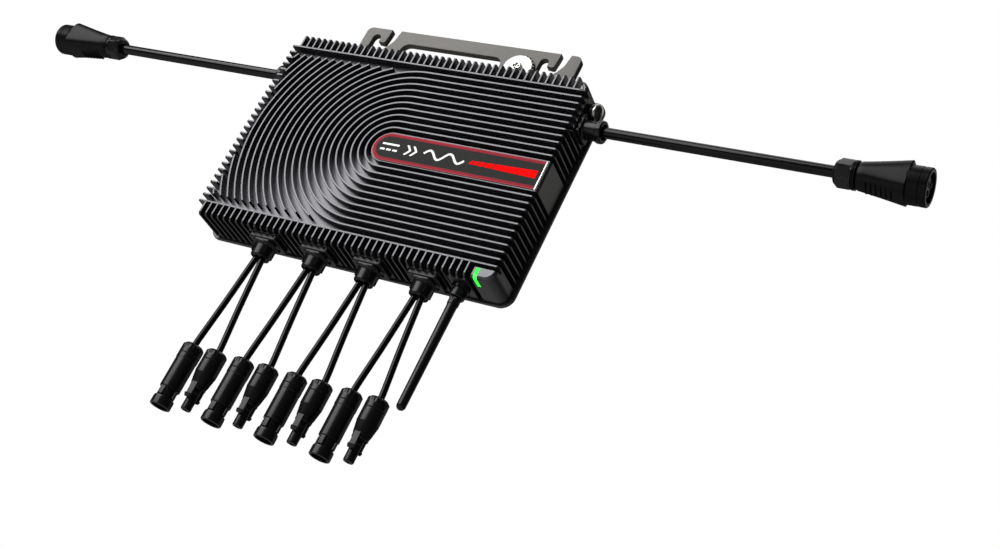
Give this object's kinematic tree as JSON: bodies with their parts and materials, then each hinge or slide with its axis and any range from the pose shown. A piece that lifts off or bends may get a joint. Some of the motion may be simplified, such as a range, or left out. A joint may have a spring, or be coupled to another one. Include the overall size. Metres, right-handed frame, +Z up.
{
  "type": "multi-input solar inverter",
  "caption": "Finned outdoor solar inverter with a hanging bracket, plug-in direct-current leads, side grid cables with connectors and a stub antenna.",
  "frame": {"origin": "on the rear face of the hanging bracket, level with the centre of the curved front ridges", "axes": "+X along the housing towards the right-hand grid cable, +Y back towards the rail or wall, +Z up"},
  "size_m": [0.9375, 0.0502, 0.4485],
  "materials": {
    "housing": "satin black coat on a die-cast heatsink",
    "cover": "satin grey coat",
    "seal": "matt",
    "label": "printed film with a red border",
    "light": "clear light pipe lit green",
    "bracket": "satin grey-brown coat on a thick plate",
    "bright_steel": "bright zinc",
    "screw_steel": "bright zinc",
    "vent": "turned rim round a black membrane cap",
    "fitting": "black moulding",
    "antenna": "black flexible sleeve",
    "gland": "black moulding",
    "cable": "smooth black jacket",
    "connector": "black moulding, light grain",
    "board": "green solder mask",
    "ferrite": "dark ferrite"
  },
  "bodies": {
    "root": {"heatsink_housing": "housing", "rear_cover": "cover", "cover_gasket": "seal", "label_plate": "label", "led_light_pipe": "light", "mounting_bracket": "bracket", "earth_washer": "bright_steel", "earth_screw": "screw_steel", "vent_plug": "vent", "antenna_base": "fitting", "circuit_board": "board", "bracket_screw_left": "screw_steel", "ac_gland_left": "gland", "bracket_screw_right": "screw_steel", "ac_gland_right": "gland", "cover_screw_1": "screw_steel", "dc_gland_1": "gland", "transformer_1": "ferrite", "cover_screw_2": "screw_steel", "dc_gland_2": "gland", "transformer_2": "ferrite", "cover_screw_3": "screw_steel", "dc_gland_3": "gland", "transformer_3": "ferrite", "cover_screw_4": "screw_steel", "dc_gland_4": "gland", "transformer_4": "ferrite"},
    "dc_lead_1_socket": {"dc_cable_1_socket": "cable", "dc_nut_1_socket": "connector", "dc_socket_1": "connector"},
    "dc_lead_1_plug": {"dc_cable_1_plug": "cable", "dc_nut_1_plug": "connector", "dc_plug_1": "connector"},
    "dc_lead_2_socket": {"dc_cable_2_socket": "cable", "dc_nut_2_socket": "connector", "dc_socket_2": "connector"},
    "dc_lead_2_plug": {"dc_cable_2_plug": "cable", "dc_nut_2_plug": "connector", "dc_plug_2": "connector"},
    "dc_lead_3_socket": {"dc_cable_3_socket": "cable", "dc_nut_3_socket": "connector", "dc_socket_3": "connector"},
    "dc_lead_3_plug": {"dc_cable_3_plug": "cable", "dc_nut_3_plug": "connector", "dc_plug_3": "connector"},
    "dc_lead_4_socket": {"dc_cable_4_socket": "cable", "dc_nut_4_socket": "connector", "dc_socket_4": "connector"},
    "dc_lead_4_plug": {"dc_cable_4_plug": "cable", "dc_nut_4_plug": "connector", "dc_plug_4": "connector"},
    "ac_lead_left": {"ac_cable_left": "cable", "ac_nut_left": "connector", "ac_connector_left": "connector"},
    "ac_lead_right": {"ac_cable_right": "cable", "ac_nut_right": "connector", "ac_connector_right": "connector"},
    "antenna": {"antenna_whip": "antenna"}
  },
  "joints": [
    {"name": "dc_lead_1_socket_flex", "type": "hinge", "parent": "root", "child": "dc_lead_1_socket", "pos_m": [-0.08568, -0.0286, -0.12744], "axis": [1, 0, 0], "range_deg": [-50, 50]},
    {"name": "dc_lead_1_plug_flex", "type": "hinge", "parent": "root", "child": "dc_lead_1_plug", "pos_m": [-0.07848, -0.0286, -0.12744], "axis": [1, 0, 0], "range_deg": [-50, 50]},
    {"name": "dc_lead_2_socket_flex", "type": "hinge", "parent": "root", "child": "dc_lead_2_socket", "pos_m": [-0.02844, -0.0286, -0.12744], "axis": [1, 0, 0], "range_deg": [-50, 50]},
    {"name": "dc_lead_2_plug_flex", "type": "hinge", "parent": "root", "child": "dc_lead_2_plug", "pos_m": [-0.02124, -0.0286, -0.12744], "axis": [1, 0, 0], "range_deg": [-50, 50]},
    {"name": "dc_lead_3_socket_flex", "type": "hinge", "parent": "root", "child": "dc_lead_3_socket", "pos_m": [0.0288, -0.0286, -0.12744], "axis": [1, 0, 0], "range_deg": [-50, 50]},
    {"name": "dc_lead_3_plug_flex", "type": "hinge", "parent": "root", "child": "dc_lead_3_plug", "pos_m": [0.036, -0.0286, -0.12744], "axis": [1, 0, 0], "range_deg": [-50, 50]},
    {"name": "dc_lead_4_socket_flex", "type": "hinge", "parent": "root", "child": "dc_lead_4_socket", "pos_m": [0.08604, -0.0286, -0.12744], "axis": [1, 0, 0], "range_deg": [-50, 50]},
    {"name": "dc_lead_4_plug_flex", "type": "hinge", "parent": "root", "child": "dc_lead_4_plug", "pos_m": [0.09324, -0.0286, -0.12744], "axis": [1, 0, 0], "range_deg": [-50, 50]},
    {"name": "ac_lead_left_flex", "type": "hinge", "parent": "root", "child": "ac_lead_left", "pos_m": [-0.17496, -0.0286, 0.07056], "axis": [0, -1, 0], "range_deg": [-45, 45]},
    {"name": "ac_lead_right_flex", "type": "hinge", "parent": "root", "child": "ac_lead_right", "pos_m": [0.18288, -0.0286, 0.06768], "axis": [0, 1, 0], "range_deg": [-45, 45]},
    {"name": "antenna_screw_on", "type": "hinge", "parent": "root", "child": "antenna", "pos_m": [0.12384, -0.0286, -0.11], "axis": [0, 0, 1], "continuous": true}
  ]
}
